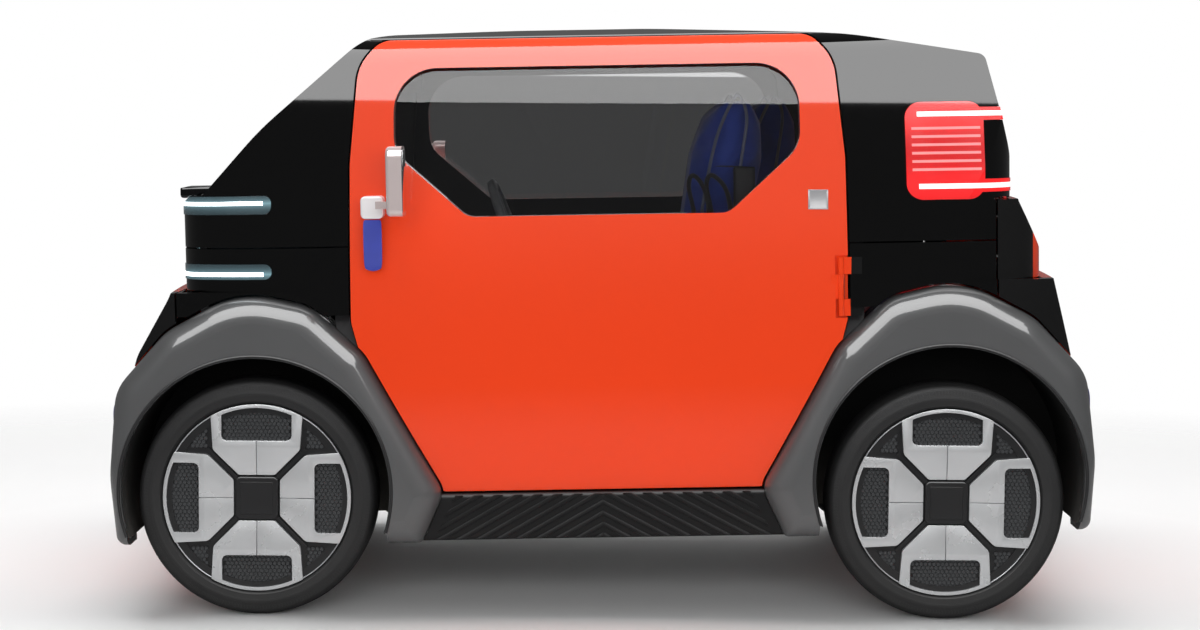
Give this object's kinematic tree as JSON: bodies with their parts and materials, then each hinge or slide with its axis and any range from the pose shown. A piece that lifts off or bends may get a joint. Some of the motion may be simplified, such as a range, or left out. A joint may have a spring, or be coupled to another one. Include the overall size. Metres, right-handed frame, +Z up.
{
  "type": "two-seat electric microcar",
  "caption": "Boxy two-seat electric city car with orange doors, black glazed ends, grey fenders, bladed wheels and corner light bars; doors swing, wheels roll and steer.",
  "frame": {"origin": "on the ground below the middle of the car's bounding box", "axes": "+X towards the front of the car, +Y to its left, +Z up"},
  "size_m": [2.5037, 1.74, 1.4988],
  "materials": {
    "chassis": "satin",
    "frame_black": "matte",
    "sill_dark": "satin",
    "fender_grey": "satin",
    "liner_black": "matte",
    "gloss_black": "gloss",
    "tinted_glass": "clear",
    "body_orange": "gloss",
    "pad_blue": "matte",
    "lamp_clear": "clear",
    "lamp_red": "clear",
    "handle_white": "gloss",
    "mirror_shell": "gloss",
    "steel": "satin",
    "dash_plastic": "matte",
    "wheel_grey": "satin",
    "seat_fabric": "matte",
    "battery_case": "satin",
    "motor_alloy": "cast",
    "tyre": "matte",
    "wheel_black": "satin",
    "blade_silver": "satin"
  },
  "bodies": {
    "body": {"floor_pan": "chassis", "cab_frame": "frame_black", "sills": "sill_dark", "front_fenders": "fender_grey", "rear_fenders": "fender_grey", "front_liners": "liner_black", "rear_liners": "liner_black", "roof_panel": "gloss_black", "windshield": "tinted_glass", "rear_window": "tinted_glass", "front_fascia": "gloss_black", "front_panel": "body_orange", "rear_panel": "body_orange", "bumper_pads": "pad_blue", "front_corners": "gloss_black", "rear_corners": "gloss_black", "headlights": "lamp_clear", "tail_lights": "lamp_red", "door_hinges": "steel", "dashboard": "dash_plastic", "seats": "seat_fabric", "seat_frames": "steel", "battery_pack": "battery_case", "front_axle": "chassis", "rear_axle": "chassis", "struts": "steel", "drive_motor": "motor_alloy"},
    "knuckle_left": {"knuckle_left": "steel"},
    "knuckle_right": {"knuckle_right": "steel"},
    "track_rod": {"track_rod": "steel"},
    "steering_wheel": {"steering_wheel": "wheel_grey"},
    "door_left": {"door_left": "body_orange", "door_glass_left": "tinted_glass", "door_handle_left": "handle_white", "door_mirror_left": "mirror_shell"},
    "door_right": {"door_right": "body_orange", "door_glass_right": "tinted_glass", "door_handle_right": "handle_white", "door_mirror_right": "mirror_shell"},
    "wheel_front_left": {"tyre_front_left": "tyre", "wheel_front_left": "wheel_black", "blades_front_left": "blade_silver"},
    "wheel_front_right": {"tyre_front_right": "tyre", "wheel_front_right": "wheel_black", "blades_front_right": "blade_silver"},
    "wheel_rear_left": {"tyre_rear_left": "tyre", "wheel_rear_left": "wheel_black", "blades_rear_left": "blade_silver"},
    "wheel_rear_right": {"tyre_rear_right": "tyre", "wheel_rear_right": "wheel_black", "blades_rear_right": "blade_silver"}
  },
  "joints": [
    {"name": "steer_left", "type": "hinge", "parent": "body", "child": "knuckle_left", "pos_m": [0.865, 0.575, 0.3], "axis": [0, 0, 1], "range_deg": [-30, 30]},
    {"name": "steer_right", "type": "hinge", "parent": "body", "child": "knuckle_right", "pos_m": [0.865, -0.575, 0.3], "axis": [0, 0, 1], "range_deg": [-30, 30]},
    {"name": "spin_front_left", "type": "hinge", "parent": "knuckle_left", "child": "wheel_front_left", "pos_m": [0.865, 0.6275, 0.3], "axis": [0, 1, 0], "continuous": true},
    {"name": "spin_rear_left", "type": "hinge", "parent": "body", "child": "wheel_rear_left", "pos_m": [-0.865, 0.6275, 0.3], "axis": [0, 1, 0], "continuous": true},
    {"name": "spin_front_right", "type": "hinge", "parent": "knuckle_right", "child": "wheel_front_right", "pos_m": [0.865, -0.6275, 0.3], "axis": [0, 1, 0], "continuous": true},
    {"name": "spin_rear_right", "type": "hinge", "parent": "body", "child": "wheel_rear_right", "pos_m": [-0.865, -0.6275, 0.3], "axis": [0, 1, 0], "continuous": true},
    {"name": "rod_slide", "type": "slide", "parent": "body", "child": "track_rod", "axis": [0, 1, 0], "range_m": [-0.066, 0.066]},
    {"name": "steering_wheel_turn", "type": "hinge", "parent": "body", "child": "steering_wheel", "pos_m": [0.23452, 0.325, 0.92957], "axis": [-0.9313, 0, 0.3642], "range_deg": [-390, 390]},
    {"name": "door_left_swing", "type": "hinge", "parent": "body", "child": "door_left", "pos_m": [-0.59076, 0.716, 0.84313], "axis": [0.0237, 0, 0.9997], "range_deg": [0, 75]},
    {"name": "door_right_swing", "type": "hinge", "parent": "body", "child": "door_right", "pos_m": [0.6089, -0.716, 0.81465], "axis": [0.0237, 0, 0.9997], "range_deg": [0, 75]}
  ],
  "couplings": [
    {"joint": "steer_right", "follows": "steer_left", "ratio": 1},
    {"joint": "rod_slide", "follows": "steer_left", "m_per_rad": 0.1241},
    {"joint": "steering_wheel_turn", "follows": "steer_left", "ratio": 13}
  ]
}
